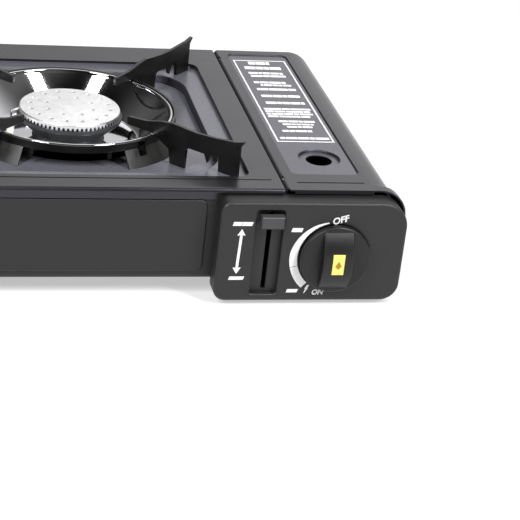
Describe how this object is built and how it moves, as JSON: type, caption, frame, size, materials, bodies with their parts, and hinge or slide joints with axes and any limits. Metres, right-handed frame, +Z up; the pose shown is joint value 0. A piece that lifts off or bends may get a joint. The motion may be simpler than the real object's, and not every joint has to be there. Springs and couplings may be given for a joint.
{
  "type": "cassette stove",
  "caption": "Low tabletop gas stove with a round ported burner in a bright bowl, crossed pan support arms, front control dial, locking lever and hinged canister lid.",
  "frame": {"origin": "centre of the bounding box at the level that the feet stand on", "axes": "+Z up, +X to the canister side, -Y towards the control panel"},
  "size_m": [0.34, 0.288, 0.1],
  "materials": {
    "graphite_enamel": "gloss",
    "bay_paint": "satin",
    "black_enamel": "satin",
    "panel_plastic": "matte",
    "knob_plastic": "satin",
    "marker_yellow": "satin",
    "lever_steel": "satin",
    "rubber": "matte",
    "cast_aluminium": "satin",
    "burner_steel": "brushed",
    "bright_steel": "polished",
    "zinc_steel": "satin",
    "pin_steel": "satin",
    "brass": "satin",
    "ceramic": "gloss",
    "igniter_plastic": "matte"
  },
  "bodies": {
    "stove": {"body_shell": "graphite_enamel", "top_plate": "graphite_enamel", "bay_tray": "bay_paint", "bay_partition": "bay_paint", "control_panel": "panel_plastic", "panel_screws": "pin_steel", "foot_front_left": "rubber", "foot_rear_left": "rubber", "foot_front_right": "rubber", "foot_rear_right": "rubber", "burner_base": "cast_aluminium", "burner_cap": "burner_steel", "mixing_tube": "zinc_steel", "jet_nozzle": "brass", "gas_pipe": "brass", "burner_bracket": "zinc_steel", "bracket_screws": "pin_steel", "electrode_clip": "zinc_steel", "electrode_ceramic": "ceramic", "electrode_wire": "pin_steel", "piezo_igniter": "igniter_plastic", "igniter_lead": "igniter_plastic", "reflector_bowl": "bright_steel", "gas_valve_body": "cast_aluminium", "regulator_body": "cast_aluminium", "regulator_screws": "pin_steel", "valve_seal": "rubber", "locating_pin": "pin_steel", "regulator_cover": "cast_aluminium", "lever_pivot": "zinc_steel", "clamp_rail": "zinc_steel", "canister_cradle": "zinc_steel", "hinge_ear_front": "zinc_steel", "hinge_pin_front": "pin_steel", "hinge_ear_rear": "zinc_steel", "hinge_pin_rear": "pin_steel"},
    "lid": {"canister_lid": "graphite_enamel"},
    "dial": {"knob": "knob_plastic", "knob_marker": "marker_yellow", "valve_spindle": "pin_steel"},
    "lever": {"lock_lever": "lever_steel"},
    "clamp": {"collar_clamp": "zinc_steel"},
    "pan_support": {"pan_support_ring": "black_enamel", "pan_arm_front_right": "black_enamel", "pan_arm_rear_right": "black_enamel", "pan_arm_rear_left": "black_enamel", "pan_arm_front_left": "black_enamel"}
  },
  "joints": [
    {"name": "lid_hinge", "type": "hinge", "parent": "stove", "child": "lid", "pos_m": [0.0902, 0.012, 0.0746], "axis": [0, -1, 0], "range_deg": [0, 95]},
    {"name": "dial_turn", "type": "hinge", "parent": "stove", "child": "dial", "pos_m": [0.1212, -0.132, 0.0352], "axis": [0, -1, 0], "range_deg": [0, 160]},
    {"name": "lever_swing", "type": "hinge", "parent": "stove", "child": "lever", "pos_m": [0.0766, -0.055, 0.041], "axis": [1, 0, 0], "range_deg": [0, 29]},
    {"name": "clamp_slide", "type": "slide", "parent": "stove", "child": "clamp", "axis": [0, -1, 0], "range_m": [0, 0.007]},
    {"name": "pan_support_lift", "type": "slide", "parent": "stove", "child": "pan_support", "axis": [0, 0, 1], "range_m": [0, 0.06]}
  ],
  "couplings": [
    {"joint": "clamp_slide", "follows": "lever_swing", "m_per_rad": 0.01382}
  ]
}
